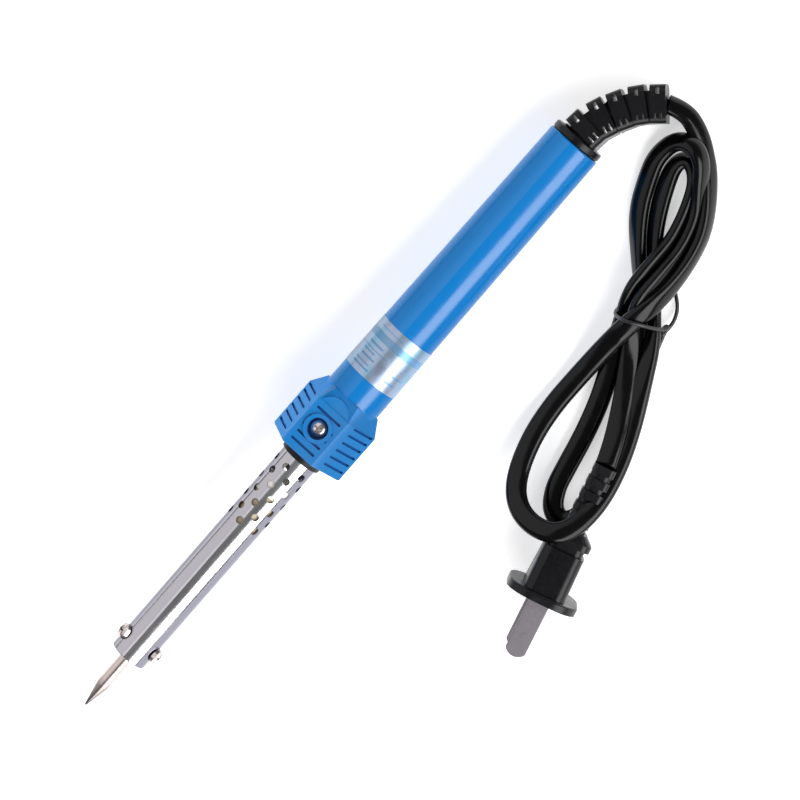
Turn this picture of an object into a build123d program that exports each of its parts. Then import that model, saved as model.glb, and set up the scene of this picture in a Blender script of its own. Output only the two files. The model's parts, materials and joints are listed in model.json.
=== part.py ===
from build123d import *
import math
import os

os.makedirs("parts", exist_ok=True)

# A mains soldering iron, lying on a table with its cord folded into a tied hank.
# All sizes are in millimetres. Along the iron, s is the distance from the point of the tip,
# and r is the distance from the iron's axis.

# ---------------------------------------------------------------- driving dimensions
IRON_LENGTH = 225.7

TIP_D = 4.2
TIP_CONE_LENGTH = 8.3
TIP_POINT_R = 0.35
TIP_END = 62.0

BARREL_START = 20.2
BARREL_END = 119.0
BARREL_D = 12.0
BARREL_WALL = 0.5
BARREL_LIP_R = 0.45
VENT_D = 2.4
VENT_ROWS = 12
VENT_FIRST = 75.6
VENT_PITCH = 7.15
VENT_TURN = -6.5  # the row nearest the top stands this many degrees off it

BUSH_START = 20.8
BUSH_END = 32.0
TIP_CLEARANCE = 0.06
TIP_SCREW_S = 26.2
TIP_SCREW_ANGLES = {"left": -52.5, "right": 85.0, "under": 187.5}

SCREW_D = 2.5
SCREW_HEAD_D = 5.0
SCREW_HEAD_HEIGHT = 2.0
SCREW_RIM_HEIGHT = 1.1
SCREW_CLEARANCE = 0.05

HEATER_START = 32.5
HEATER_END = 86.0
HEATER_CORE_D = 6.6
HEATER_BORE_D = 4.8
HEATER_BORE_END = 82.0
WINDING_START = 36.0
WINDING_END = 84.0
WINDING_WIRE_D = 1.0
MICA_D = 9.8
MICA_WALL = 0.3
INSULATOR_END = 92.5
LEAD_OFFSET = 2.6
LEAD_D = 0.8
SLEEVE_D = 1.8
SLEEVE_BORE_D = 1.0

COLLAR_START = 100.6
COLLAR_END = 121.0
COLLAR_FRONT_D = 13.6
COLLAR_D = 14.8
CLAMP_RING_START = 107.5
CLAMP_RING_BORE_D = 7.8

BLOCK_START = 103.4
BLOCK_END = 120.4
BLOCK_FLATS = 25.4  # between the top and bottom faces
BLOCK_FACE = 11.8  # width of the top and bottom faces
BLOCK_WIDTH = 26.6  # between the two side corners
SHOULDER_END = 125.3
SHOULDER_SCALE = 0.75
GROOVE_WIDTH = 0.8
GROOVE_DEPTH = 0.8
GROOVES = [106.2, 109.0, 111.7, 114.5, 117.3, 119.8]
TOP_GROOVE_LENGTH = 9.2
GROOVE_SHARE = 0.68  # of a slanting face's length
TOP_GROOVES = [106.2, 108.9, 111.7, 114.5, 118.1]
BOSS_S = 113.1
BOSS_D = 9.0
BOSS_RISE = 0.5
RECESS_D = 6.65
RECESS_FLOOR_R = 10.2
PAD_D = 10.2
PAD_S = 119.0
HANDLE_D_FRONT = 18.9
HANDLE_D_REAR = 17.3
HANDLE_EDGE_R = 0.7
HANDLE_WALL = 2.1
HANDLE_MOUTH_D = 12.4
HANDLE_MOUTH_LENGTH = 4.0

LABEL_START = 133.2
LABEL_END = 150.6
LABEL_THICKNESS = 0.08
LABEL_SEAM = 14.0  # degrees of the handle left bare under the iron

TERMINAL_START = 152.0
TERMINAL_SIZE = (16.0, 10.4, 8.0)
CORD_TAIL_START = 208.0
CORE_WIRE_D = 2.0
CORD_WIDTH = 6.4
CORD_THICKNESS = 3.8

RELIEF_FLANGE_D = 16.8
RELIEF_FLANGE_LENGTH = 2.3
RELIEF_NECK_LENGTH = 0.6
RELIEF_SPINE = [(126.7, -2.9, 7.7), (133.1, -6.7, 7.4), (139.3, -12.9, 7.1)]
RELIEF_END_TURN = -47.0  # degrees from +X of the spine's direction at its end
RELIEF_WIDTH = 12.4
RELIEF_END_WIDTH = 11.4
RELIEF_RAIL = 1.3  # thickness of the smooth rail along the inside of the bend
RELIEF_RIBS = 5
RELIEF_GAP = 0.22  # gap between ribs, as a share of a rib

# Free cord, from the strain relief down to the table and in under the hank.
CORD_ROUTE = [
    (139.3, -12.9, 7.1),
    (141.4, -18.0, 5.7),
    (140.1, -24.2, 4.1),
    (136.4, -29.3, 3.1),
]
CORD_TUBE_D = 5.0

# Outline of the hank on the table, round its outermost strands.
HANK_OUTLINE = [
    (138.1, -27.5), (133.1, -19.5), (123.1, -17.6), (112.1, -21.6), (101.1, -30.5),
    (91.1, -42.6), (71.1, -42.6), (49.1, -42.6), (31.1, -46.6), (20.6, -54.0),
    (16.9, -64.0), (19.6, -73.5), (28.1, -79.6), (41.1, -79.4), (57.1, -73.8),
    (75.1, -63.6), (93.1, -52.0), (111.1, -50.2), (128.1, -42.0), (136.1, -34.5),
]
HANK_HEIGHT = 11.0
HANK_RISE_TOP = 20.6  # where the last fold lies over the plug's strain relief

TIE_POINT = (85.6, -49.0)
TIE_SIZE = (17.0, 12.6)
TIE_WIRE_D = 1.3
TIE_TURN = 52.0

PLUG_FLANGE = (6.0, -81.4, 13.05)  # middle of the flange's front face
PLUG_HEADING = 14.6  # degrees of the plug's axis from the iron's, seen from above
PLUG_LEAN = 11.0
PLUG_FLANGE_SIZE = (22.2, 25.0, 2.5)
PLUG_FLANGE_CORNER = 8.0
PLUG_BODY_SIZE = (13.2, 20.0)
PLUG_BODY_END_SIZE = (13.0, 11.6)
PLUG_COLLAR_SIZE = (13.8, 10.0)
PLUG_BODY_LENGTH = 14.5
PLUG_COLLAR_LENGTH = 5.5
PLUG_NECK_D = 6.8
PLUG_NECK_LENGTH = 21.0
PLUG_RIBS = 5
BLADE_WIDTH = 6.35
BLADE_THICKNESS = 1.5
BLADE_LENGTH = 18.5
BLADE_GAP = 12.7
BLADE_ROOT = 8.0

# ---------------------------------------------------------------- the iron's own frame
# The iron rests on the rear edge of the block's bottom face and on the handle's rear rim,
# so its axis runs down towards the handle by TILT.
REST_R = BLOCK_FLATS / 2
REAR_R = HANDLE_D_REAR / 2
TILT = math.atan((REST_R - REAR_R) / (IRON_LENGTH - HANDLE_EDGE_R - BLOCK_END))
AXIS = Vector(math.cos(TILT), 0, -math.sin(TILT))
UP = Vector(math.sin(TILT), 0, math.cos(TILT))
REAR_RIM_X = (REAR_R - HANDLE_EDGE_R) * math.sin(TILT)
TIP = Vector(
    -(IRON_LENGTH * math.cos(TILT) + REAR_RIM_X) / 2,
    0,
    REST_R * math.cos(TILT) + BLOCK_END * math.sin(TILT),
)
IRON_AXIS = Axis(TIP, AXIS)
LENGTHWISE = Plane(origin=TIP, x_dir=AXIS, z_dir=(0, -1, 0))


def on_axis(s):
    return TIP + AXIS * s


def across(s):
    """The plane square to the axis at s, its x along +Y and its y up."""
    return Plane(origin=on_axis(s), x_dir=(0, 1, 0), z_dir=AXIS)


def facing(angle, r=0.0):
    """The plane at radius r that faces out at an angle from the top, towards -Y.

    Its x is s, the distance along the iron.
    """
    out = UP * math.cos(math.radians(angle)) + Vector(0, -1, 0) * math.sin(math.radians(angle))
    return Plane(origin=TIP + out * r, x_dir=AXIS, z_dir=out)


def ring(start, end, outer, bore):
    """The half section, in s and r, of a tube on the iron's axis."""
    corners = [(start, bore / 2), (end, bore / 2), (end, outer / 2), (start, outer / 2)]
    Polygon(*corners, align=None)


def save(piece, name):
    piece.part.label = name
    export_step(piece.part, f"parts/{name}.step")


# ---------------------------------------------------------------- tip
with BuildPart() as tip_bit:
    with BuildSketch(LENGTHWISE):
        with BuildLine():
            Polyline(
                (0, 0), (TIP_END, 0), (TIP_END, TIP_D / 2),
                (TIP_CONE_LENGTH, TIP_D / 2), (0.3, TIP_POINT_R), (0, 0.2), close=True,
            )
        make_face()
    revolve(axis=IRON_AXIS)
    chamfer(tip_bit.faces().sort_by(IRON_AXIS)[-1].edges(), 0.3)
save(tip_bit, "tip_bit")

# ---------------------------------------------------------------- barrel
with BuildPart() as barrel_tube:
    with BuildSketch(LENGTHWISE):
        ring(BARREL_START, BARREL_END, BARREL_D, BARREL_D - 2 * BARREL_WALL)
    revolve(axis=IRON_AXIS)
    fillet(barrel_tube.faces().sort_by(IRON_AXIS)[0].outer_wire().edges(), BARREL_LIP_R)
    for row in range(VENT_ROWS):
        holes = 4 - row % 2
        first = VENT_FIRST + (row % 2) * VENT_PITCH / 2
        with BuildSketch(facing(VENT_TURN + row * 360 / VENT_ROWS)):
            with Locations([(first + VENT_PITCH * hole, 0) for hole in range(holes)]):
                Circle(VENT_D / 2)
        extrude(amount=BARREL_D, mode=Mode.SUBTRACT)
    for angle in TIP_SCREW_ANGLES.values():
        with BuildSketch(facing(angle)):
            with Locations((TIP_SCREW_S, 0)):
                Circle(SCREW_D / 2 + 0.2)
        extrude(amount=BARREL_D, mode=Mode.SUBTRACT)
    with BuildSketch(facing(0)):
        with Locations((BOSS_S, 0)):
            Circle(SCREW_D / 2 + 0.2)
    extrude(amount=BARREL_D, mode=Mode.SUBTRACT)
save(barrel_tube, "barrel_tube")

with BuildPart() as front_bush:
    with BuildSketch(LENGTHWISE):
        ring(BUSH_START, BUSH_END, BARREL_D - 2 * BARREL_WALL - 0.06, TIP_D + 2 * TIP_CLEARANCE)
    revolve(axis=IRON_AXIS)
    chamfer(front_bush.faces().sort_by(IRON_AXIS)[0].edges(), 0.25)
    for angle in TIP_SCREW_ANGLES.values():
        with BuildSketch(facing(angle)):
            with Locations((TIP_SCREW_S, 0)):
                Circle(SCREW_D / 2 + SCREW_CLEARANCE)
        extrude(amount=BARREL_D, mode=Mode.SUBTRACT)
save(front_bush, "front_bush")


def pan_head_screw(plane, s, foot, seat):
    """A cross-recessed pan-head screw on a plane's normal at s.

    foot and seat are the radii, from the iron's axis, of its end and of its head's underside.
    """
    at = Plane(origin=plane.origin + AXIS * s, x_dir=plane.x_dir, z_dir=plane.z_dir)
    turning = Plane(origin=at.origin, x_dir=at.x_dir, z_dir=at.y_dir * -1)
    rim_r = SCREW_HEAD_D / 2
    top = seat + SCREW_HEAD_HEIGHT
    dome_rise = SCREW_HEAD_HEIGHT - SCREW_RIM_HEIGHT
    dome_r = (rim_r ** 2 + dome_rise ** 2) / (2 * dome_rise)
    half = math.asin(rim_r / dome_r) / 2
    with BuildPart() as screw:
        with BuildSketch(turning):
            with BuildLine():
                Polyline(
                    (0, foot), (SCREW_D / 2 - 0.3, foot), (SCREW_D / 2, foot + 0.3),
                    (SCREW_D / 2, seat), (rim_r, seat), (rim_r, seat + SCREW_RIM_HEIGHT),
                )
                ThreePointArc(
                    (rim_r, seat + SCREW_RIM_HEIGHT),
                    (dome_r * math.sin(half), top - dome_r * (1 - math.cos(half))),
                    (0, top),
                )
                Line((0, top), (0, foot))
            make_face()
        revolve(axis=Axis(at.origin, at.z_dir))
        with BuildSketch(at.offset(top)):
            Rectangle(2.8, 0.55)
            Rectangle(0.55, 2.8)
            Circle(0.6)
        extrude(amount=-1.1, mode=Mode.SUBTRACT)
    return screw


for side, angle in TIP_SCREW_ANGLES.items():
    tip_screw = pan_head_screw(facing(angle), TIP_SCREW_S, TIP_D / 2 + 0.3, BARREL_D / 2 + 0.05)
    save(tip_screw, f"tip_screw_{side}")

# ---------------------------------------------------------------- heater
with BuildPart() as heater_core:
    with BuildSketch(LENGTHWISE):
        with BuildLine():
            Polyline(
                (HEATER_START, HEATER_BORE_D / 2), (HEATER_BORE_END, HEATER_BORE_D / 2),
                (HEATER_BORE_END, 0), (HEATER_END, 0), (HEATER_END, HEATER_CORE_D / 2),
                (HEATER_START, HEATER_CORE_D / 2), close=True,
            )
        make_face()
    revolve(axis=IRON_AXIS)
save(heater_core, "heater_core")

with BuildPart() as heating_winding:
    with BuildSketch(LENGTHWISE):
        ring(WINDING_START, WINDING_END, HEATER_CORE_D + 1.1, HEATER_CORE_D + 0.1)
        turns = int((WINDING_END - WINDING_START) / WINDING_WIRE_D / 2)
        with Locations([
            (WINDING_START + WINDING_WIRE_D * (2 * turn + 1), HEATER_CORE_D / 2 + 0.55)
            for turn in range(turns)
        ]):
            Circle(WINDING_WIRE_D / 2)
    revolve(axis=IRON_AXIS)
save(heating_winding, "heating_winding")

with BuildPart() as mica_wrap:
    with BuildSketch(LENGTHWISE):
        ring(HEATER_START, HEATER_END, MICA_D, MICA_D - 2 * MICA_WALL)
    revolve(axis=IRON_AXIS)
save(mica_wrap, "mica_wrap")

with BuildPart() as rear_insulator:
    with BuildSketch(across(HEATER_END + 0.2)):
        Circle(BARREL_D / 2 - BARREL_WALL - 0.1)
        with Locations((LEAD_OFFSET, 0), (-LEAD_OFFSET, 0)):
            Circle(LEAD_D / 2 + 0.1, mode=Mode.SUBTRACT)
    extrude(amount=INSULATOR_END - HEATER_END - 0.2)
    chamfer(rear_insulator.faces().sort_by(IRON_AXIS)[-1].outer_wire().edges(), 0.5)
save(rear_insulator, "rear_insulator")

for name, offset_y in {"a": LEAD_OFFSET, "b": -LEAD_OFFSET}.items():
    with BuildPart() as heater_lead:
        with BuildSketch(across(HEATER_END + 0.6)):
            with Locations((offset_y, 0)):
                Circle(LEAD_D / 2)
        extrude(amount=TERMINAL_START + 5 - HEATER_END - 0.6)
    save(heater_lead, f"heater_lead_{name}")

    with BuildPart() as lead_sleeve:
        with BuildSketch(across(INSULATOR_END + 0.3)):
            with Locations((offset_y, 0)):
                Circle(SLEEVE_D / 2)
                Circle(SLEEVE_BORE_D / 2, mode=Mode.SUBTRACT)
        extrude(amount=TERMINAL_START - INSULATOR_END - 0.6)
    save(lead_sleeve, f"lead_sleeve_{name}")

# ---------------------------------------------------------------- joint between barrel and handle
with BuildPart() as clamp_ring:
    with BuildSketch(LENGTHWISE):
        ring(CLAMP_RING_START, BARREL_END, BARREL_D - 2 * BARREL_WALL - 0.06, CLAMP_RING_BORE_D)
    revolve(axis=IRON_AXIS)
    with BuildSketch(facing(0)):
        with Locations((BOSS_S, 0)):
            Circle(SCREW_D / 2 + SCREW_CLEARANCE)
    extrude(amount=BARREL_D, mode=Mode.SUBTRACT)
save(clamp_ring, "clamp_ring")

with BuildPart() as insulating_collar:
    with BuildSketch(LENGTHWISE):
        with BuildLine():
            Polyline(
                (COLLAR_START, BARREL_D / 2 + 0.03), (COLLAR_END, BARREL_D / 2 + 0.03),
                (COLLAR_END, COLLAR_D / 2), (BLOCK_START, COLLAR_D / 2),
                (BLOCK_START, COLLAR_FRONT_D / 2), (COLLAR_START, COLLAR_FRONT_D / 2), close=True,
            )
        make_face()
    revolve(axis=IRON_AXIS)
    fillet(insulating_collar.faces().sort_by(IRON_AXIS)[0].outer_wire().edges(), 0.6)
    with BuildSketch(facing(0)):
        with Locations((BOSS_S, 0)):
            Circle(SCREW_D / 2 + 0.2)
    extrude(amount=BARREL_D, mode=Mode.SUBTRACT)
save(insulating_collar, "insulating_collar")

# ---------------------------------------------------------------- handle
HALF_FLATS = BLOCK_FLATS / 2
HALF_FACE = BLOCK_FACE / 2
HALF_WIDTH = BLOCK_WIDTH / 2
SLANT_FACE = math.hypot(HALF_WIDTH - HALF_FACE, HALF_FLATS)
SLANT_R = HALF_FLATS * HALF_WIDTH / SLANT_FACE
SLANT_ANGLE = math.degrees(math.atan2(HALF_FLATS, HALF_WIDTH - HALF_FACE))
SLANT_MIDDLE = SLANT_FACE / 2 - math.sqrt(HALF_WIDTH ** 2 - SLANT_R ** 2)


def hexagon(scale=1.0):
    """The block's section: a top and a bottom face, and corners at the sides."""
    flats = HALF_FLATS * scale
    face = HALF_FACE * scale
    width = HALF_WIDTH * scale
    Polygon(
        (face, flats), (-face, flats), (-width, 0), (-face, -flats), (face, -flats), (width, 0),
        align=None,
    )


with BuildPart() as handle_shell:
    with BuildSketch(across(BLOCK_START)):
        hexagon()
    extrude(amount=BLOCK_END - BLOCK_START)
    fillet(handle_shell.edges().filter_by(IRON_AXIS), 0.5)
    chamfer(handle_shell.faces().sort_by(IRON_AXIS)[0].edges(), 0.35)
    with BuildSketch(across(BLOCK_END)):
        hexagon(0.985)
    with BuildSketch(across(SHOULDER_END)):
        hexagon(SHOULDER_SCALE)
    loft()
    with BuildSketch(LENGTHWISE):
        with BuildLine():
            Polyline(
                (BLOCK_END, 0), (IRON_LENGTH, 0), (IRON_LENGTH, HANDLE_D_REAR / 2),
                (BLOCK_END, HANDLE_D_FRONT / 2), close=True,
            )
        make_face()
    revolve(axis=IRON_AXIS)
    fillet(handle_shell.faces().sort_by(IRON_AXIS)[-1].edges(), HANDLE_EDGE_R)
    with BuildSketch(facing(0, SLANT_R / 2)):
        with Locations((PAD_S, 0)):
            Circle(PAD_D / 2)
    extrude(amount=HALF_FLATS - 0.45 - SLANT_R / 2)
    with BuildSketch(LENGTHWISE):
        with BuildLine():
            Polyline(
                (BLOCK_START, 0), (IRON_LENGTH, 0), (IRON_LENGTH, HANDLE_MOUTH_D / 2),
                (IRON_LENGTH - HANDLE_MOUTH_LENGTH, HANDLE_MOUTH_D / 2),
                (IRON_LENGTH - HANDLE_MOUTH_LENGTH, HANDLE_D_REAR / 2 - HANDLE_WALL),
                (COLLAR_END + 2.0, HANDLE_D_FRONT / 2 - HANDLE_WALL),
                (COLLAR_END + 0.2, COLLAR_D / 2 + 0.03), (BLOCK_START, COLLAR_D / 2 + 0.03),
                close=True,
            )
        make_face()
    revolve(axis=IRON_AXIS, mode=Mode.SUBTRACT)
    for angle, stations in {0: TOP_GROOVES, 180: GROOVES}.items():
        with BuildSketch(facing(angle, HALF_FLATS)):
            with Locations([(s, 0) for s in stations]):
                SlotOverall(TOP_GROOVE_LENGTH, GROOVE_WIDTH, rotation=90)
        extrude(amount=-GROOVE_DEPTH, mode=Mode.SUBTRACT)
    for side in (1, -1):
        for angle in (SLANT_ANGLE, 180 - SLANT_ANGLE):
            face_plane = facing(side * angle, SLANT_R)
            middle = SLANT_MIDDLE if angle < 90 else -SLANT_MIDDLE
            with BuildSketch(face_plane):
                with Locations([(s, -side * middle) for s in GROOVES]):
                    SlotOverall(SLANT_FACE * GROOVE_SHARE, GROOVE_WIDTH, rotation=90)
            extrude(amount=-GROOVE_DEPTH, mode=Mode.SUBTRACT)
    with BuildSketch(facing(0, HALF_FLATS - GROOVE_DEPTH)):
        with Locations((BOSS_S, 0)):
            Circle(BOSS_D / 2)
    extrude(amount=GROOVE_DEPTH + BOSS_RISE)
    with BuildSketch(facing(0, RECESS_FLOOR_R)):
        with Locations((BOSS_S, 0)):
            Circle(RECESS_D / 2)
    extrude(amount=BLOCK_FLATS, mode=Mode.SUBTRACT)
    with BuildSketch(facing(0)):
        with Locations((BOSS_S, 0)):
            Circle(SCREW_D / 2 + 0.2)
    extrude(amount=BLOCK_FLATS, mode=Mode.SUBTRACT)
save(handle_shell, "handle_shell")

handle_screw = pan_head_screw(facing(0), BOSS_S, 4.3, RECESS_FLOOR_R + 0.05)
save(handle_screw, "handle_screw")


def handle_r(s):
    share = (s - BLOCK_END) / (IRON_LENGTH - BLOCK_END)
    return (HANDLE_D_FRONT + (HANDLE_D_REAR - HANDLE_D_FRONT) * share) / 2


with BuildPart() as rating_label:
    with BuildSketch(LENGTHWISE):
        with BuildLine():
            Polyline(
                (LABEL_START, handle_r(LABEL_START)), (LABEL_END, handle_r(LABEL_END)),
                (LABEL_END, handle_r(LABEL_END) + LABEL_THICKNESS),
                (LABEL_START, handle_r(LABEL_START) + LABEL_THICKNESS), close=True,
            )
        make_face()
    revolve(axis=IRON_AXIS)
    seam = 2 * HANDLE_D_FRONT / 2 * math.tan(math.radians(LABEL_SEAM / 2))
    with BuildSketch(facing(180)):
        with Locations(((LABEL_START + LABEL_END) / 2, 0)):
            Rectangle(LABEL_END - LABEL_START + 2, seam)
    extrude(amount=HANDLE_D_FRONT, mode=Mode.SUBTRACT)
save(rating_label, "rating_label")

# ---------------------------------------------------------------- inside the handle
TERMINAL_LENGTH, TERMINAL_WIDTH, TERMINAL_HEIGHT = TERMINAL_SIZE
TERMINAL_SCREWS = [
    (TERMINAL_START + share * TERMINAL_LENGTH, side * LEAD_OFFSET)
    for share in (0.25, 0.75) for side in (-1, 1)
]
with BuildPart() as terminal_block:
    with BuildSketch(across(TERMINAL_START)):
        RectangleRounded(TERMINAL_WIDTH, TERMINAL_HEIGHT, 1.2)
        with Locations((LEAD_OFFSET, 0), (-LEAD_OFFSET, 0)):
            Circle(1.2, mode=Mode.SUBTRACT)
    extrude(amount=TERMINAL_LENGTH)
    with BuildSketch(facing(0)):
        with Locations(TERMINAL_SCREWS):
            Circle(1.05)
    extrude(amount=TERMINAL_HEIGHT, mode=Mode.SUBTRACT)
save(terminal_block, "terminal_block")

with BuildPart() as terminal_screws:
    with BuildSketch(facing(0, 1.3)):
        with Locations(TERMINAL_SCREWS):
            Circle(1.0)
    extrude(amount=2.3)
    with BuildSketch(facing(0, 3.6)):
        with Locations(TERMINAL_SCREWS):
            Rectangle(2.2, 0.35)
    extrude(amount=-0.5, mode=Mode.SUBTRACT)
save(terminal_screws, "terminal_screws")

for name, offset_y in {"a": 1.0, "b": -1.0}.items():
    core_start = TERMINAL_START + TERMINAL_LENGTH - 6
    with BuildPart() as cord_core:
        with BuildSketch(across(core_start)):
            with Locations((LEAD_OFFSET * offset_y, 0)):
                Circle(CORE_WIRE_D / 2)
        with BuildSketch(across(core_start + 10)):
            with Locations((LEAD_OFFSET * offset_y, 0)):
                Circle(CORE_WIRE_D / 2)
        loft()
        with BuildSketch(across(core_start + 10)):
            with Locations((LEAD_OFFSET * offset_y, 0)):
                Circle(CORE_WIRE_D / 2)
        with BuildSketch(across(CORD_TAIL_START - 4)):
            with Locations((1.25 * offset_y, 0)):
                Circle(CORE_WIRE_D / 2)
        loft()
        with BuildSketch(across(CORD_TAIL_START - 4)):
            with Locations((1.25 * offset_y, 0)):
                Circle(CORE_WIRE_D / 2)
        extrude(amount=4)
    save(cord_core, f"cord_core_{name}")

FLANGE_START = IRON_LENGTH + 0.1
with BuildPart() as cord_tail:
    with BuildSketch(across(CORD_TAIL_START)):
        SlotOverall(CORD_WIDTH, CORD_THICKNESS)
    extrude(amount=FLANGE_START - 6.0 - CORD_TAIL_START)
save(cord_tail, "cord_tail")

with BuildPart() as cord_clip:
    with BuildSketch(across(CORD_TAIL_START + 3)):
        SlotOverall(CORD_WIDTH + 2.4, CORD_THICKNESS + 2.4)
        SlotOverall(CORD_WIDTH + 0.1, CORD_THICKNESS + 0.1, mode=Mode.SUBTRACT)
    extrude(amount=5)
save(cord_clip, "cord_clip")

# ---------------------------------------------------------------- strain relief at the handle
# The moulded boot runs straight out of the handle and then bends towards -Y.
BEND_START = on_axis(FLANGE_START + RELIEF_FLANGE_LENGTH + RELIEF_NECK_LENGTH)
end_turn = math.radians(RELIEF_END_TURN)
with BuildLine() as spine:
    Spline(BEND_START, *RELIEF_SPINE, tangents=(AXIS, (math.cos(end_turn), math.sin(end_turn), -0.03)))
spine_edge = spine.edges()[0]


def bend_plane(share):
    """The plane square to the boot's spine, its x along the outside of the bend."""
    ahead = spine_edge % share
    return Plane(origin=spine_edge @ share, x_dir=Vector(0, 0, 1).cross(ahead), z_dir=ahead)


with BuildPart() as strain_relief:
    with BuildSketch(LENGTHWISE):
        with BuildLine():
            mouth_r = HANDLE_MOUTH_D / 2 - 0.05
            flange_end = FLANGE_START + RELIEF_FLANGE_LENGTH
            Polyline(
                (FLANGE_START - 6, 0), (flange_end + RELIEF_NECK_LENGTH, 0),
                (flange_end + RELIEF_NECK_LENGTH, RELIEF_WIDTH / 2 - 0.5), (flange_end, 6.7),
                (flange_end, RELIEF_FLANGE_D / 2), (FLANGE_START, RELIEF_FLANGE_D / 2),
                (FLANGE_START, mouth_r), (FLANGE_START - 6, mouth_r), close=True,
            )
        make_face()
    revolve(axis=IRON_AXIS)
    fillet(strain_relief.edges().filter_by(GeomType.CIRCLE).sort_by(SortBy.RADIUS)[-2:], 0.5)
    with BuildSketch(bend_plane(0)):
        with Locations((-(RELIEF_WIDTH - RELIEF_RAIL) / 2 + 0.6, 0)):
            Rectangle(RELIEF_RAIL, RELIEF_WIDTH * 0.7)
        Rectangle(RELIEF_WIDTH * 0.62, RELIEF_WIDTH * 0.5)
    sweep(path=spine.wires()[0])
    rib_share = 1 / (RELIEF_RIBS + RELIEF_GAP * (RELIEF_RIBS - 1))
    thick = spine_edge.length * rib_share
    for rib in range(RELIEF_RIBS):
        middle = (1 + RELIEF_GAP) * rib_share * rib + rib_share / 2
        width = RELIEF_WIDTH + (RELIEF_END_WIDTH - RELIEF_WIDTH) * middle
        with BuildSketch(bend_plane(middle).offset(-thick / 2)):
            RectangleRounded(width, width * 0.94, 2.2)
        extrude(amount=thick)
    for rib in range(RELIEF_RIBS):
        station = bend_plane((1 + RELIEF_GAP) * rib_share * rib + rib_share / 2)
        with BuildSketch(Plane(origin=station.origin, x_dir=station.x_dir, z_dir=station.y_dir)):
            with Locations((3.9, 0)):
                Rectangle(2.2, 1.1)
            with Locations((-3.6, 0.9), (-3.6, -0.9)):
                Rectangle(2.2, 0.7)
        extrude(amount=RELIEF_WIDTH, both=True, mode=Mode.SUBTRACT)
save(strain_relief, "strain_relief")

# ---------------------------------------------------------------- cord
cord_points = [Vector(*point) for point in CORD_ROUTE]
runs = [after - before for before, after in zip(cord_points, cord_points[1:])]
cord_radii = [
    0.45 * min(before.length, after.length) / math.tan(math.radians(before.get_angle(after)) / 2)
    for before, after in zip(runs, runs[1:])
]
print("cord bend radii", [round(radius, 1) for radius in cord_radii])
with BuildPart() as mains_cord:
    with BuildLine() as cord_path:
        FilletPolyline(*cord_points, radius=cord_radii)
    with BuildSketch(Plane(origin=cord_points[0], z_dir=runs[0])):
        Circle(CORD_TUBE_D / 2)
    sweep(path=cord_path.wires()[0])
cord_length = cord_path.wires()[0].length
section = math.pi * CORD_TUBE_D ** 2 / 4
print("cord tube volume over section times length", mains_cord.part.volume / section / cord_length)
save(mains_cord, "mains_cord")

# ---------------------------------------------------------------- plug
heading = math.radians(PLUG_HEADING)
lean = math.radians(PLUG_LEAN)
PLUG_BACK = Vector(math.cos(heading), math.sin(heading), 0)  # from the blades to the cord
PLUG_SIDE = Vector(math.sin(heading), -math.cos(heading), 0)
PLUG_WIDE = Vector(0, 0, 1) * math.cos(lean) + PLUG_SIDE * math.sin(lean)
PLUG_FRAME = Plane(
    origin=Vector(*PLUG_FLANGE), x_dir=PLUG_WIDE.cross(PLUG_BACK), z_dir=PLUG_BACK
)


def plug_station(distance):
    """The plane square to the plug this far behind the flange's front face."""
    return PLUG_FRAME.offset(distance)


FLANGE_ACROSS, FLANGE_ALONG, FLANGE_THICK = PLUG_FLANGE_SIZE
BODY_ACROSS, BODY_ALONG = PLUG_BODY_SIZE
BODY_END = FLANGE_THICK + PLUG_BODY_LENGTH
NECK_START = BODY_END + PLUG_COLLAR_LENGTH
with BuildPart() as plug_body:
    with BuildSketch(plug_station(0)):
        RectangleRounded(FLANGE_ACROSS, FLANGE_ALONG, PLUG_FLANGE_CORNER)
    extrude(amount=FLANGE_THICK)
    fillet(plug_body.faces().sort_by(Axis(PLUG_FRAME.origin, PLUG_BACK))[-1].edges(), 0.7)
    with BuildSketch(plug_station(FLANGE_THICK - 0.5)):
        RectangleRounded(BODY_ACROSS, BODY_ALONG, 3.2)
    with BuildSketch(plug_station(BODY_END - 1.2)):
        RectangleRounded(*PLUG_BODY_END_SIZE, 3.2)
    loft()
    with BuildSketch(plug_station(BODY_END - 1.2)):
        RectangleRounded(PLUG_COLLAR_SIZE[0] - 2.4, PLUG_COLLAR_SIZE[1] - 1.0, 2.6)
    extrude(amount=2.4)
    with BuildSketch(plug_station(BODY_END + 1.0)):
        RectangleRounded(*PLUG_COLLAR_SIZE, 3.0)
    extrude(amount=2.0)
    with BuildSketch(plug_station(BODY_END + 3.0)):
        RectangleRounded(*PLUG_COLLAR_SIZE, 3.0)
    with BuildSketch(plug_station(NECK_START)):
        RectangleRounded(PLUG_NECK_D + 1.4, PLUG_NECK_D + 1.6, 2.4)
    loft()
    with BuildSketch(plug_station(0)):
        with Locations((0, BLADE_GAP / 2), (0, -BLADE_GAP / 2)):
            Rectangle(BLADE_WIDTH + 0.04, BLADE_THICKNESS + 0.04)
    extrude(amount=BLADE_ROOT + 0.05, mode=Mode.SUBTRACT)
save(plug_body, "plug_body")

with BuildPart() as plug_relief:
    with BuildSketch(plug_station(NECK_START + 0.02)):
        SlotOverall(CORD_WIDTH + 0.2, CORD_THICKNESS + 0.9)
    extrude(amount=PLUG_NECK_LENGTH)
    rib_pitch = PLUG_NECK_LENGTH / PLUG_RIBS
    for rib in range(PLUG_RIBS):
        with BuildSketch(plug_station(NECK_START + 0.02 + rib_pitch * (rib + 0.4))):
            RectangleRounded(PLUG_NECK_D + 0.4 - 0.08 * rib, PLUG_NECK_D - 0.08 * rib, 1.6)
        extrude(amount=rib_pitch * 0.6)
save(plug_relief, "plug_relief")

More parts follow.
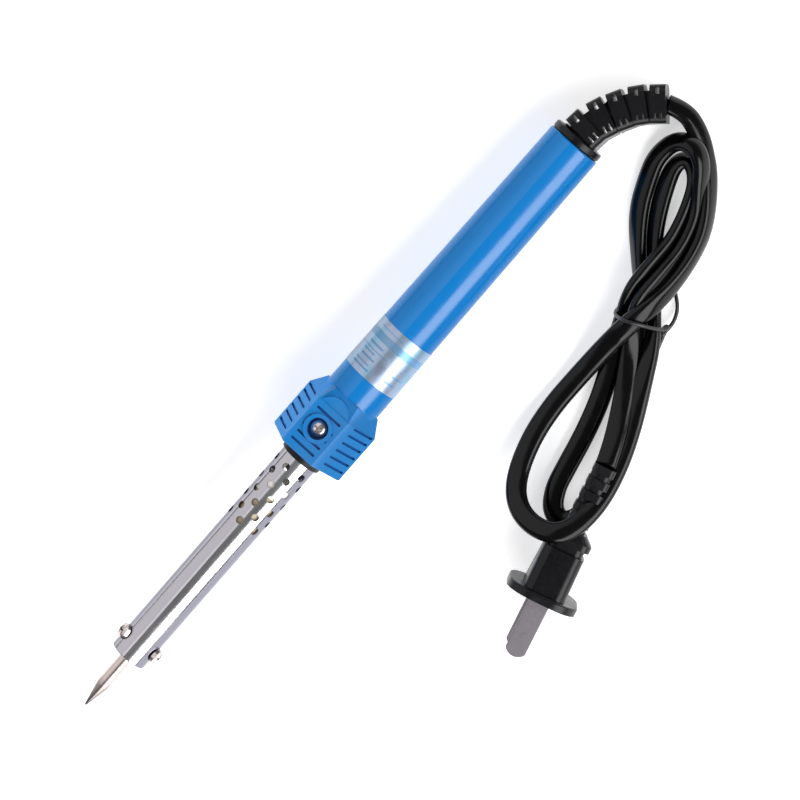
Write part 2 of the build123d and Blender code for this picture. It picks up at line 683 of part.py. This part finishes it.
for name, side in {"a": 1, "b": -1}.items():
    with BuildPart() as plug_blade:
        blade_plane = Plane(
            origin=PLUG_FRAME.origin + PLUG_WIDE * (side * BLADE_GAP / 2 - BLADE_THICKNESS / 2),
            x_dir=PLUG_BACK, z_dir=PLUG_WIDE,
        )
        with BuildSketch(blade_plane):
            with BuildLine():
                half = BLADE_WIDTH / 2
                Polyline(
                    (-BLADE_LENGTH + 1.8, half), (BLADE_ROOT, half),
                    (BLADE_ROOT, -half), (-BLADE_LENGTH + 1.8, -half),
                )
                ThreePointArc(
                    (-BLADE_LENGTH + 1.8, -half), (-BLADE_LENGTH, 0), (-BLADE_LENGTH + 1.8, half)
                )
            make_face()
        extrude(amount=BLADE_THICKNESS)
        chamfer(plug_blade.faces().filter_by(Axis((0, 0, 0), PLUG_WIDE)).edges(), 0.25)
    save(plug_blade, f"plug_blade_{name}")

# ---------------------------------------------------------------- hank and its tie
with BuildPart() as cord_hank:
    with BuildSketch(Plane.XY):
        with BuildLine():
            Spline(*HANK_OUTLINE, periodic=True)
        make_face()
    extrude(amount=HANK_RISE_TOP)
    with BuildSketch(Plane.XZ.offset(100)):
        with BuildLine():
            Polyline(
                (60, HANK_HEIGHT), (38, HANK_RISE_TOP), (38, HANK_RISE_TOP + 5),
                (150, HANK_RISE_TOP + 5), (150, HANK_HEIGHT), close=True,
            )
        make_face()
    extrude(amount=-100, mode=Mode.SUBTRACT)
    with BuildSketch(plug_station(FLANGE_THICK)):
        RectangleRounded(BODY_ACROSS + 1.2, BODY_ALONG + 1.0, 3.4)
    extrude(amount=NECK_START - FLANGE_THICK, mode=Mode.SUBTRACT)
    with BuildSketch(plug_station(NECK_START - 0.5)):
        RectangleRounded(PLUG_NECK_D + 2.4, PLUG_NECK_D + 2.8, 2.4)
    extrude(amount=PLUG_NECK_LENGTH + 1.5, mode=Mode.SUBTRACT)
save(cord_hank, "cord_hank")

with BuildPart() as twist_tie:
    turn = math.radians(TIE_TURN)
    tie_plane = Plane(
        origin=(TIE_POINT[0], TIE_POINT[1], TIE_SIZE[1] / 2),
        x_dir=(math.cos(turn), -math.sin(turn), 0), z_dir=(math.sin(turn), math.cos(turn), 0),
    )
    with BuildSketch(tie_plane.offset(-TIE_WIRE_D / 2)):
        RectangleRounded(TIE_SIZE[0] + 2 * TIE_WIRE_D, TIE_SIZE[1], 3.0)
        RectangleRounded(TIE_SIZE[0], TIE_SIZE[1] - 2 * TIE_WIRE_D, 2.0, mode=Mode.SUBTRACT)
    extrude(amount=TIE_WIRE_D)
save(twist_tie, "twist_tie")

# ---------------------------------------------------------------- figures for the record
print("tilt", round(math.degrees(TILT), 3), "tip", TIP, "axis", AXIS, "up", UP)
for side, angle in TIP_SCREW_ANGLES.items():
    screw_plane = facing(angle)
    print("tip screw", side, on_axis(TIP_SCREW_S), screw_plane.z_dir)
print("handle screw", on_axis(BOSS_S), "rear", on_axis(IRON_LENGTH))
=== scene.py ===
import json
import math

import bpy
from mathutils import Matrix, Vector


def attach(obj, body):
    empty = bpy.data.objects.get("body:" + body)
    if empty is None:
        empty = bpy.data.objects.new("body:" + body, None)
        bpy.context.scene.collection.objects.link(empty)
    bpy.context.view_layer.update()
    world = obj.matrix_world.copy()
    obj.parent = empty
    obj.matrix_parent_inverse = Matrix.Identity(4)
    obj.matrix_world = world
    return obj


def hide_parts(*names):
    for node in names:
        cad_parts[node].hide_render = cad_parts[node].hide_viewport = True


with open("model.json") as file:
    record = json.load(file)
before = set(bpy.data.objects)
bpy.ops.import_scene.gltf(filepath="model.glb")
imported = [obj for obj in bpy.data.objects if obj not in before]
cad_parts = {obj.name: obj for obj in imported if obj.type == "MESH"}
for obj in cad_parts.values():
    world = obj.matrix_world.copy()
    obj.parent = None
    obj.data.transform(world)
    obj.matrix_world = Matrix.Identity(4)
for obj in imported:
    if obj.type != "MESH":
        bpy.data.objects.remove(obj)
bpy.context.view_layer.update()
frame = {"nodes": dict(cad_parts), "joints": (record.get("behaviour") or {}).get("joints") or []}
nodes = frame["nodes"]

# ---------------------------------------------------------------- the iron's own frame
# s is the distance along the iron from the point of its tip, up is square to that, in metres.
joints = {joint["name"]: joint for joint in frame["joints"]}
AXIS = -Vector(joints["tip_slide"]["axis"]).normalized()
UP = Vector(joints["block_screw_turn"]["axis"]).normalized()
BOSS_S = 0.1131
TIP = Vector(joints["block_screw_turn"]["pos_m"]) - AXIS * BOSS_S
SHOULDER_END = 0.1253

# ---------------------------------------------------------------- camera
CAMERA_PLACE = (0.21115, -0.1485, 1.0383)
CAMERA_RIGHT = (0.64402, -0.73345, -0.21745)  # the way that the picture's right edge points
CAMERA_BACK = (0.18051, -0.13053, 0.97487)  # the way from the iron to the camera
LENS_MM = 158.9
SENSOR_MM = 36.0


def add_camera():
    data = bpy.data.cameras.new("camera")
    data.lens = LENS_MM
    data.sensor_width = SENSOR_MM
    data.clip_start = 0.05
    camera = bpy.data.objects.new("camera", data)
    right = Vector(CAMERA_RIGHT).normalized()
    back = Vector(CAMERA_BACK).normalized()
    up = back.cross(right).normalized()
    turn = Matrix((right, up, back)).transposed().to_4x4()
    camera.matrix_world = Matrix.Translation(Vector(CAMERA_PLACE)) @ turn
    bpy.context.scene.collection.objects.link(camera)
    bpy.context.scene.camera = camera


# ---------------------------------------------------------------- shader helpers
class Shader:
    """A material with a Principled surface, and short calls that add nodes to it."""

    def __init__(self, name):
        self.material = bpy.data.materials.new(name)
        self.material.use_nodes = True
        self.tree = self.material.node_tree
        self.tree.nodes.clear()
        self.surface = self.tree.nodes.new("ShaderNodeBsdfPrincipled")
        output = self.tree.nodes.new("ShaderNodeOutputMaterial")
        self.link(self.surface.outputs["BSDF"], output.inputs["Surface"])
        self.place = self.tree.nodes.new("ShaderNodeTexCoord").outputs["Object"]

    def link(self, source, target):
        self.tree.links.new(source, target)

    def put(self, value, target):
        """A number, colour or another node's output goes to an input."""
        if hasattr(value, "is_linked"):
            self.link(value, target)
        else:
            target.default_value = value

    def set(self, **values):
        """Sets the surface's inputs, their names written with _ for a space."""
        for name, value in values.items():
            if name == "Base_Color" and not hasattr(value, "is_linked"):
                value = (*value[:3], 1.0)
            self.put(value, self.surface.inputs[name.replace("_", " ")])

    def math(self, kind, *values):
        node = self.tree.nodes.new("ShaderNodeMath")
        node.operation = kind
        for value, target in zip(values, node.inputs):
            self.put(value, target)
        return node.outputs[0]

    def along(self, direction, origin):
        """Distance along a direction from an origin, in metres."""
        shift = self.tree.nodes.new("ShaderNodeVectorMath")
        shift.operation = "SUBTRACT"
        self.link(self.place, shift.inputs[0])
        shift.inputs[1].default_value = origin
        dot = self.tree.nodes.new("ShaderNodeVectorMath")
        dot.operation = "DOT_PRODUCT"
        self.link(shift.outputs[0], dot.inputs[0])
        dot.inputs[1].default_value = direction
        return dot.outputs["Value"]

    def iron_place(self, stretch):
        """Coordinates that run with the iron, each scaled by stretch."""
        join = self.tree.nodes.new("ShaderNodeCombineXYZ")
        for direction, factor, target in zip((AXIS, Vector((0, 1, 0)), UP), stretch, join.inputs):
            self.put(self.math("MULTIPLY", self.along(direction, TIP), factor), target)
        return join.outputs[0]

    def noise(self, scale, detail=3.0, rough=0.5, place=None, distortion=0.0):
        node = self.tree.nodes.new("ShaderNodeTexNoise")
        self.link(place or self.place, node.inputs["Vector"])
        node.inputs["Scale"].default_value = scale
        node.inputs["Detail"].default_value = detail
        node.inputs["Roughness"].default_value = rough
        node.inputs["Distortion"].default_value = distortion
        return node.outputs["Fac"]

    def ramp(self, value, *stops):
        """stops are (position, colour or grey)."""
        node = self.tree.nodes.new("ShaderNodeValToRGB")
        self.put(value, node.inputs[0])
        elements = node.color_ramp.elements
        while len(elements) < len(stops):
            elements.new(0.5)
        for element, (position, colour) in zip(elements, stops):
            element.position = position
            element.color = (*colour, 1.0) if isinstance(colour, tuple) else (colour,) * 3 + (1.0,)
        return node.outputs[0]

    def range(self, value, low, high, to_low=0.0, to_high=1.0):
        node = self.tree.nodes.new("ShaderNodeMapRange")
        for number, target in zip((value, low, high, to_low, to_high), node.inputs):
            self.put(number, target)
        return node.outputs[0]

    def mix(self, share, first, second):
        node = self.tree.nodes.new("ShaderNodeMix")
        node.data_type = "RGBA"
        self.put(share, node.inputs["Factor"])
        for value, name in ((first, "A_Color"), (second, "B_Color")):
            target = next(i for i in node.inputs if i.identifier == name)
            self.put((*value, 1.0) if isinstance(value, tuple) else value, target)
        return next(o for o in node.outputs if o.identifier == "Result_Color")

    def bump(self, height, distance, strength):
        node = self.tree.nodes.new("ShaderNodeBump")
        node.inputs["Distance"].default_value = distance
        node.inputs["Strength"].default_value = strength
        self.put(height, node.inputs["Height"])
        self.link(node.outputs[0], self.surface.inputs["Normal"])


def between(shader, value, low, high, edge):
    """1 where value is between low and high, with soft edges."""
    rise = shader.range(value, low - edge, low + edge)
    fall = shader.range(value, high - edge, high + edge, 1.0, 0.0)
    return shader.math("MULTIPLY", rise, fall)


# ---------------------------------------------------------------- materials
# Several materials below change colour with the place on the iron. Those changes imitate soft
# light from one side: the real plastic has one colour, and the real barrel one finish.
HANDLE_R = 0.0095
HALF_WIDTH = 0.0133  # from the iron's axis to the block's side corners
HALF_FLATS = 0.0127  # and to its top and bottom faces
SLANT_R = 0.01149  # and to its slanting faces
SLANT_OUT = (0.864, 0.503)  # how far each slanting face looks sideways and up
GROOVED = (0.1036, 0.1204)  # the grooved stretch of the block
GROOVE_PAINTED_SHADE = 0.75
# Stops of (place across, amount), where 0 is the near side, with the cord, and 1 the far side. The first
# table is painted shade on the block, darker towards its near side; the second is a painted highlight, set
# in the tube's gloss.
BLOCK_PAINTED_SHADE = [(0.26, 0.37), (0.30, 0.50), (0.70, 0.57), (0.74, 0.90)]
PAINTED_GLOSS_TONES = [(0.02, 0.12), (0.13, 0.20), (0.22, 0.62), (0.50, 0.55), (0.66, 0.30), (1.0, 0.26)]


def blue_plastic():
    m = Shader("blue_plastic")
    s = m.along(AXIS, TIP)
    side = m.along((0, 1, 0), TIP)
    sideways = m.math("ABSOLUTE", side)
    height = m.math("ABSOLUTE", m.along(UP, TIP))
    slant = m.math(
        "ADD", m.math("MULTIPLY", sideways, SLANT_OUT[0]), m.math("MULTIPLY", height, SLANT_OUT[1])
    )
    depth = m.math("MAXIMUM", height, m.math("MULTIPLY", slant, HALF_FLATS / SLANT_R))
    mould = m.noise(420, 4, 0.6)
    tint = m.noise(35, 3, 0.5)
    across_block = m.range(side, -HALF_WIDTH, HALF_WIDTH)
    block = m.mix(tint, (0.008, 0.300, 0.850), (0.014, 0.330, 0.910))
    # Painted shade: the block's colour darkens towards its near side.
    block = m.mix(m.ramp(across_block, *BLOCK_PAINTED_SHADE), (0.0, 0.0, 0.0), block)
    across_tube = m.range(side, -HANDLE_R, HANDLE_R)
    # Painted shade: the tube is darker on its near side and paler on its far side.
    tube = m.mix(across_tube, (0.001, 0.104, 0.310), (0.003, 0.255, 0.720))
    tube = m.mix(m.math("MULTIPLY", tint, 0.12), tube, (0.001, 0.110, 0.330))
    # Painted highlight: the gloss changes across the tube, strongest on the near side's lit band and weak at
    # its edges.
    painted_gloss = m.ramp(across_tube, *PAINTED_GLOSS_TONES)
    # Painted shade: the block's grooves are darkened.
    in_groove = m.range(depth, HALF_FLATS - 0.0006, HALF_FLATS - 0.0002, 1.0, 0.0)
    groove_zone = m.math("MULTIPLY", in_groove, between(m, s, *GROOVED, 0.0001))
    block = m.mix(m.math("MULTIPLY", groove_zone, GROOVE_PAINTED_SHADE), block, (0.006, 0.055, 0.235))
    on_tube = m.range(s, SHOULDER_END - 0.0002, SHOULDER_END + 0.0002)
    m.set(Base_Color=m.mix(on_tube, block, tube))
    smudge = m.noise(90, 4, 0.65)
    block_rough = m.range(mould, 0.3, 0.7, 0.42, 0.56)
    tube_rough = m.range(smudge, 0.3, 0.75, 0.17, 0.28)
    rough = m.tree.nodes.new("ShaderNodeMix")
    rough.data_type = "FLOAT"
    m.put(on_tube, rough.inputs[0])
    m.put(block_rough, rough.inputs[2])
    m.put(tube_rough, rough.inputs[3])
    m.set(Roughness=rough.outputs[0], IOR=1.47, Specular_IOR_Level=painted_gloss)
    m.bump(mould, 0.00004, 0.35)
    return m.material


def chromed_steel():
    m = Shader("chromed_steel")
    draw = m.noise(1.0, 5, 0.6, m.iron_place((60, 900, 900)))
    haze = m.noise(70, 3, 0.6)
    s = m.along(AXIS, TIP)
    heat = m.range(s, 0.03, 0.1)
    crown = m.mix(heat, (0.82, 0.79, 0.80), (0.80, 0.80, 0.79))
    # Painted shade: the barrel's far side gets a darker copy of the chrome, streaked at random, and the near
    # side keeps the lit crown colour.
    streaks = m.noise(1.0, 3, 0.5, m.iron_place((12, 420, 420)))
    stain_and_painted_shade = m.mix(streaks, (0.50, 0.47, 0.47), (0.42, 0.42, 0.50))
    far_side = m.range(m.along((0, 1, 0), TIP), -0.0002, 0.0008)
    # Painted shade: the barrel darkens below its crown, towards its flanks.
    barrel_flank_shade = m.range(m.along(UP, TIP), 0.0037, 0.0045, 1.0, 0.0)
    colour = m.mix(barrel_flank_shade, m.mix(far_side, crown, stain_and_painted_shade), (0.23, 0.23, 0.28))
    m.set(Base_Color=colour, Metallic=1.0)
    m.set(Roughness=m.range(m.math("ADD", draw, haze), 0.7, 1.3, 0.13, 0.24))
    m.bump(draw, 0.00001, 0.25)
    return m.material


def metal(name, light, dark, rough_low, rough_high, scale=260):
    m = Shader(name)
    grain = m.noise(scale, 5, 0.65)
    m.set(Base_Color=m.mix(m.range(grain, 0.35, 0.7), light, dark), Metallic=1.0)
    m.set(Roughness=m.range(grain, 0.3, 0.7, rough_low, rough_high))
    m.bump(grain, 0.00003, 0.4)
    return m.material


CONE_LENGTH = 0.0125  # of the stained stretch behind the tip's point


def plated_copper():
    m = Shader("plated_copper")
    s = m.along(AXIS, TIP)
    stain_and_painted_shade = m.noise(300, 5, 0.6)
    turned = m.noise(1.0, 3, 0.5, m.iron_place((2600, 120, 120)))
    place = m.math("ADD", s, m.range(stain_and_painted_shade, 0.2, 0.8, -0.0012, 0.0012))
    cone = m.ramp(
        m.range(place, 0.0, CONE_LENGTH),
        (0.0, (0.10, 0.09, 0.09)), (0.25, (0.22, 0.20, 0.20)), (0.55, (0.34, 0.30, 0.28)),
        (0.68, (0.45, 0.36, 0.33)), (0.85, (0.62, 0.53, 0.51)),
    )
    m.set(Base_Color=cone, Metallic=1.0)
    m.set(Roughness=m.range(m.math("ADD", stain_and_painted_shade, turned), 0.7, 1.3, 0.24, 0.42))
    m.bump(turned, 0.00003, 0.35)
    return m.material


def plastic(name, colour, other, rough_low, rough_high, scale=500, height=0.00004, shine=0.5):
    m = Shader(name)
    grain = m.noise(scale, 4, 0.6)
    patch = m.noise(60, 3, 0.5)
    m.set(Base_Color=m.mix(patch, colour, other))
    m.set(Roughness=m.range(m.math("ADD", grain, patch), 0.7, 1.3, rough_low, rough_high))
    m.set(Specular_IOR_Level=shine)
    m.bump(grain, height, 0.4)
    return m.material


def foil_label():
    m = Shader("foil_label")
    s = m.along(AXIS, TIP)
    y = m.along((0, 1, 0), TIP)
    crinkle = m.noise(240, 4, 0.6)
    sheen = m.noise(1.0, 2, 0.5, m.iron_place((55, 120, 120)), 1.2)
    foil = m.ramp(
        sheen,
        (0.30, (0.29, 0.35, 0.50)), (0.45, (0.36, 0.44, 0.58)),
        (0.58, (0.26, 0.46, 0.62)), (0.72, (0.38, 0.37, 0.49)),
    )
    # Painted shade: the foil darkens towards both flanks of the tube.
    edge = m.range(m.math("ABSOLUTE", y), 0.0060, 0.0092, 1.0, 0.55)
    foil = m.mix(edge, (0.10, 0.16, 0.26), foil)
    ink = 0.0
    for start, end, low, high, strength in LABEL_BARS:
        bar = m.math(
            "MULTIPLY", between(m, s, start, end, 0.00008), between(m, y, low, high, 0.00008)
        )
        ink = m.math("MAXIMUM", ink, m.math("MULTIPLY", bar, strength))
    colour = m.mix(ink, foil, (0.02, 0.20, 0.42))
    m.set(Base_Color=colour, Metallic=m.math("SUBTRACT", 0.7, m.math("MULTIPLY", ink, 0.5)))
    m.set(Roughness=m.range(crinkle, 0.3, 0.7, 0.24, 0.38))
    m.bump(crinkle, 0.00005, 0.3)
    return m.material


# Printed bars on the label: start and end along the iron, low and high across it, and how dark.
LABEL_BARS = [
    (0.13500, 0.13555, 0.0005, 0.0068, 0.75),
    (0.13640, 0.13690, 0.0015, 0.0068, 0.60),
    (0.13830, 0.13885, 0.0010, 0.0062, 0.75),
    (0.14000, 0.14050, 0.0022, 0.0068, 0.65),
    (0.14120, 0.14145, -0.0020, 0.0090, 0.85),
    (0.14260, 0.14320, 0.0010, 0.0066, 0.70),
    (0.14480, 0.14690, -0.0098, 0.0092, 0.55),
    (0.14470, 0.14490, -0.0098, 0.0092, 0.85),
    (0.14680, 0.14700, -0.0098, 0.0092, 0.85),
    (0.14840, 0.14875, -0.0020, 0.0068, 0.50),
    (0.13600, 0.13660, -0.0078, -0.0050, 0.60),
    (0.13850, 0.13900, -0.0085, -0.0058, 0.60),
]


def cord_vinyl():
    m = Shader("cord_vinyl")
    grain = m.noise(260, 3, 0.5)
    dust = m.noise(900, 2, 0.5)
    speck = m.math("MULTIPLY", m.range(dust, 0.68, 0.78), 0.3)
    m.set(Base_Color=m.mix(speck, (0.0015, 0.0015, 0.0018), (0.02, 0.02, 0.022)))
    m.set(Roughness=m.range(grain, 0.3, 0.7, 0.13, 0.24), IOR=1.45, Specular_IOR_Level=0.3)
    m.bump(grain, 0.00006, 0.3)
    return m.material


def assign(piece, material):
    piece.data.materials.clear()
    piece.data.materials.append(material)


def finish_cad_nodes():
    """Every CAD node that shows gets its own procedural material."""
    steel = metal("dull_steel", (0.55, 0.53, 0.51), (0.35, 0.34, 0.33), 0.3, 0.5)
    screw = metal("plated_screw", (0.80, 0.74, 0.71), (0.42, 0.36, 0.35), 0.18, 0.34, 700)
    ceramic = plastic("heater_ceramic", (0.80, 0.78, 0.72), (0.70, 0.67, 0.60), 0.6, 0.8)
    glass_fibre = plastic("glass_fibre", (0.80, 0.78, 0.70), (0.70, 0.68, 0.60), 0.7, 0.9, 1500, 0.0001)
    white = plastic("white_plastic", (0.80, 0.80, 0.77), (0.74, 0.74, 0.70), 0.4, 0.55)
    resin = plastic("dark_resin", (0.002, 0.002, 0.005), (0.004, 0.004, 0.008), 0.40, 0.55, shine=0.3)
    boot = plastic("black_boot", (0.0012, 0.0012, 0.002), (0.003, 0.003, 0.004), 0.26, 0.38, 900, shine=0.28)
    blade = metal("dull_blade", (0.26, 0.24, 0.26), (0.17, 0.155, 0.17), 0.34, 0.5)
    brass = metal("brass", (0.80, 0.62, 0.30), (0.66, 0.49, 0.22), 0.2, 0.35)
    looks = {
        "tip_bit": plated_copper(), "barrel_tube": chromed_steel(), "front_bush": steel,
        "tip_screw_left": screw, "tip_screw_right": screw, "tip_screw_under": screw,
        "handle_screw": screw, "heater_core": ceramic, "heating_winding": steel,
        "mica_wrap": plastic("mica", (0.55, 0.47, 0.33), (0.45, 0.37, 0.24), 0.25, 0.45),
        "rear_insulator": ceramic, "heater_lead_a": steel, "heater_lead_b": steel,
        "lead_sleeve_a": glass_fibre, "lead_sleeve_b": glass_fibre, "clamp_ring": steel,
        "insulating_collar": resin, "handle_shell": blue_plastic(), "rating_label": foil_label(),
        "terminal_block": white, "terminal_screws": brass,
        "cord_core_a": boot, "cord_core_b": boot, "cord_tail": boot, "cord_clip": white,
        "strain_relief": boot, "plug_body": boot, "plug_relief": boot,
        "plug_blade_a": blade, "plug_blade_b": blade,
    }
    for name, material in looks.items():
        assign(nodes[name], material)


# ---------------------------------------------------------------- cord
# The cord's centreline from the strain relief to the plug: x, y and z in millimetres, then
# the degrees by which the flat cord leans over, its broad face towards the outside of a turn.
FREE_CORD = [
    (139.3, -12.9, 7.1, 45), (141.0, -18.0, 5.7, 40), (139.3, -24.0, 4.3, 40), (136.2, -29.3, 3.1, 45),
]
STATIONS = [119.1, 109.1, 99.1, 91.1, 83.1, 73.1, 61.1, 49.1, 37.1]  # x of the points on each pass
PASS_Y = {
    "first": [-45.4, -48.2, -49.2, -48.9, -47.3, -46.2, -45.6, -45.6, -47.7],
    "second": [-28.2, -33.6, -42.0, -49.4, -56.0, -61.3, -67.7, -73.2, -76.2],
    "third": [-37.6, -40.4, -40.8, -41.2, -44.6, -49.0, -54.7, -58.4, -61.0],
    "fourth": [-22.0, -26.7, -35.8, -44.8, -52.0, -59.1, -65.3, -70.2, -73.5],
    "fifth": [-41.5, -44.3, -45.0, -45.1, -48.6, -55.8, -63.3],
}
PASS_Z = {
    "first": [3.1, 3.3, 5.6, 9.6, 10.6, 6.0, 2.4, 2.5, 5.5],
    "second": [2.3, 2.4, 3.0, 3.0, 5.2, 6.4, 6.0, 10.0, 14.0],
    "third": [3.1, 3.8, 8.6, 7.6, 3.4, 1.9, 1.9, 1.9, 1.9],
    "fourth": [2.3, 2.4, 2.9, 3.0, 2.5, 2.0, 1.9, 1.9, 1.9],
    "fifth": [3.1, 3.6, 8.2, 9.3, 6.2, 5.4, 7.5],
}
PASS_LEAN = {
    "first": [75, 75, 62, 40, 10, 0, 0, 0, 0],
    "second": [30, 40, 62, 62, 40, 15, 0, 0, 0],
    "third": [75, 70, 62, 62, 40, 0, 0, 0, 0],
    "fourth": [30, 30, 62, 62, 40, 15, 0, 0, 0],
    "fifth": [75, 75, 62, 62, 40, 10, 0],
}
FOLDS = {
    "before first": [(130.5, -36.6, 2.4, 60)],
    "first to second": [
        (25.5, -52.8, 9.0, 0), (20.8, -59.8, 14.0, 0), (21.2, -68.6, 17.5, 0), (26.2, -75.3, 18.5, 0),
    ],
    "second to third": [(127.4, -25.4, 2.6, 45), (131.4, -28.2, 3.0, 60), (128.0, -33.6, 3.1, 75)],
    "third to fourth": [
        (30.8, -62.6, 1.9, 0), (25.4, -66.3, 1.9, 0), (25.0, -71.2, 1.9, 0), (29.9, -73.8, 1.9, 0),
    ],
    "fourth to fifth": [
        (125.6, -20.0, 2.8, 30), (133.2, -21.6, 5.2, 40), (135.6, -27.6, 7.8, 45),
        (132.0, -33.2, 7.0, 60), (124.8, -37.6, 4.0, 75),
    ],
    "after fifth": [(53.1, -68.0, 11.0, 0), (48.0, -70.2, 12.8, 0)],
}
CORD_WIDTH = 0.0064
CORD_THICKNESS = 0.0038


def cord_route():
    """The hank's passes run down towards the plug and up again by turns, joined by folds."""
    points = FREE_CORD + FOLDS["before first"]
    turns = ["first to second", "second to third", "third to fourth", "fourth to fifth", "after fifth"]
    for number, (name, fold) in enumerate(zip(PASS_Y, turns)):
        stretch = list(zip(STATIONS, PASS_Y[name], PASS_Z[name], PASS_LEAN[name]))
        points += stretch if number % 2 == 0 else stretch[::-1]
        points += FOLDS[fold]
    leans = [math.radians(point[3]) for point in points]
    return [Vector(point[:3]) / 1000 for point in points], leans


def spline_points(name, route, resolution=12):
    """Points along a smooth NURBS curve that has the route as its control points."""
    curve = bpy.data.curves.new(name, "CURVE")
    curve.dimensions = "3D"
    spline = curve.splines.new("NURBS")
    spline.points.add(len(route) - 1)
    for point, place in zip(spline.points, route):
        point.co = (*place, 1.0)
    spline.order_u = 3
    spline.use_endpoint_u = True
    spline.resolution_u = resolution
    holder = bpy.data.objects.new(name, curve)
    bpy.context.scene.collection.objects.link(holder)
    bpy.context.view_layer.update()
    mesh = bpy.data.meshes.new_from_object(holder.evaluated_get(bpy.context.evaluated_depsgraph_get()))
    line = [vertex.co.copy() for vertex in mesh.vertices]
    bpy.data.objects.remove(holder)
    bpy.data.meshes.remove(mesh)
    return line


def flat_oval(width, thickness, count=24, power=2.5):
    """Outline of a flat cord's section: a rounded oval, a superellipse of the given power."""
    outline = []
    for step in range(count):
        angle = 2 * math.pi * step / count
        c, s = math.cos(angle), math.sin(angle)
        across = math.copysign(abs(c) ** (2 / power), c) * width / 2
        rise = math.copysign(abs(s) ** (2 / power), s) * thickness / 2
        outline.append((across, rise))
    return outline


def sweep(name, line, outline, leans):
    """A tube of that outline along a line, its broad face up but for its lean at each place."""
    verts = []
    faces = []
    count = len(outline)
    for index, place in enumerate(line):
        ahead = (line[min(index + 1, len(line) - 1)] - line[max(index - 1, 0)]).normalized()
        level = ahead.cross(Vector((0, 0, 1))).normalized()
        upright = level.cross(ahead)
        lean = leans[index]
        side = level * math.cos(lean) + upright * math.sin(lean)
        rise = upright * math.cos(lean) - level * math.sin(lean)
        for across, height in outline:
            verts.append(place + side * across + rise * height)
        if index:
            row = count * (index - 1)
            for step in range(count):
                following = (step + 1) % count
                faces.append((row + step, row + following, row + count + following, row + count + step))
    faces.append(tuple(range(count - 1, -1, -1)))
    faces.append(tuple(range(len(verts) - count, len(verts))))
    mesh = bpy.data.meshes.new(name)
    mesh.from_pydata(verts, [], faces)
    mesh.validate()
    mesh.update()
    for polygon in mesh.polygons:
        polygon.use_smooth = True
    piece = bpy.data.objects.new(name, mesh)
    bpy.context.scene.collection.objects.link(piece)
    return piece


def line_length(line):
    return sum((after - before).length for before, after in zip(line, line[1:]))


def add_cord():
    route, leans = cord_route()
    line = spline_points("cord_route", route)
    lean_route = [Vector((lean, 0, 0)) for lean in leans]
    leans = [place.x for place in spline_points("cord_lean", lean_route)]
    print("cord length", round(line_length(line), 4), len(line), len(leans))
    cord = sweep("mains_cord_flat", line, flat_oval(CORD_WIDTH, CORD_THICKNESS), leans)
    assign(cord, cord_vinyl())
    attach(cord, "iron")
    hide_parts("mains_cord", "cord_hank")


# ---------------------------------------------------------------- twist tie
# The tie's wire: its loose tail, the knot, the loop that stands out to the right and goes in
# under the strands, the turn round them all, and the other end at the knot.
TIE_ROUTE = [
    (81.6, -58.3, 1.2), (85.3, -57.0, 1.2), (88.2, -56.2, 2.0), (89.7, -56.4, 2.6),
    (92.3, -56.1, 1.6), (95.5, -54.6, 1.2), (98.1, -51.7, 1.2), (99.9, -48.8, 1.0),
    (98.6, -45.6, 0.6), (93.4, -43.4, 0.6), (87.0, -41.4, 0.7), (83.6, -41.0, 2.4),
    (82.6, -42.0, 6.6), (83.2, -44.4, 11.2), (84.4, -47.0, 13.6), (86.0, -50.6, 12.4),
    (87.2, -53.4, 9.2), (88.5, -55.6, 5.6), (89.9, -56.4, 4.2), (89.9, -55.4, 3.2),
    (87.6, -55.2, 3.0), (87.0, -56.6, 3.4),
]
TIE_D = 0.0012


def add_tie():
    line = spline_points("tie_route", [Vector(point) / 1000 for point in TIE_ROUTE], 10)
    round_section = flat_oval(TIE_D, TIE_D, 10, 2.0)
    tie = sweep("twist_tie_wire", line, round_section, [0.0] * len(line))
    assign(tie, plastic("tie_vinyl", (0.006, 0.006, 0.007), (0.012, 0.012, 0.013), 0.3, 0.45))
    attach(tie, "iron")
    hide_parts("twist_tie")


# ---------------------------------------------------------------- floor, light
FLOOR_HALF = 3.0
FLOOR_DROP = 0.0002  # clear of what lies on it
SKY_COLOUR = (0.93, 0.95, 1.0, 1.0)
SKY_STRENGTH = 0.16


def add_floor():
    mesh = bpy.data.meshes.new("floor")
    corners = [(x * FLOOR_HALF, y * FLOOR_HALF, 0) for x, y in ((-1, -1), (1, -1), (1, 1), (-1, 1))]
    mesh.from_pydata(corners, [], [(0, 1, 2, 3)])
    floor = bpy.data.objects.new("floor", mesh)
    floor.location.z = -FLOOR_DROP
    bpy.context.scene.collection.objects.link(floor)
    m = Shader("pale_floor")
    m.set(Base_Color=(0.9, 0.9, 0.9), Roughness=0.9, Emission_Color=(1, 1, 1, 1), Emission_Strength=0.5)
    assign(floor, m.material)


def add_softbox(name, side, height, size, radiance, colour=(1, 1, 1)):
    """A long soft light along the iron, at a distance to one side, that looks at the middle."""
    data = bpy.data.lights.new(name, "AREA")
    data.shape = "RECTANGLE"
    data.size, data.size_y = size
    data.energy = radiance * math.pi * size[0] * size[1]
    data.color = colour
    light = bpy.data.objects.new(name, data)
    light.location = (0, side, height)
    facing = -Vector((0, side, height))
    light.rotation_euler = facing.to_track_quat("-Z", "Y").to_euler()
    bpy.context.scene.collection.objects.link(light)


def add_lights():
    world = bpy.data.worlds.new("studio")
    world.use_nodes = True
    background = world.node_tree.nodes["Background"]
    background.inputs["Color"].default_value = SKY_COLOUR
    background.inputs["Strength"].default_value = SKY_STRENGTH
    bpy.context.scene.world = world
    add_softbox("key", -0.62, 0.435, (1.6, 0.52), 5.2)
    add_softbox("fill", 0.75, 0.75, (1.8, 1.5), 0.9, (1.0, 0.98, 0.98))
    bpy.context.scene.view_settings.view_transform = "Standard"


add_camera()
finish_cad_nodes()
add_cord()
add_tie()
add_floor()
add_lights()
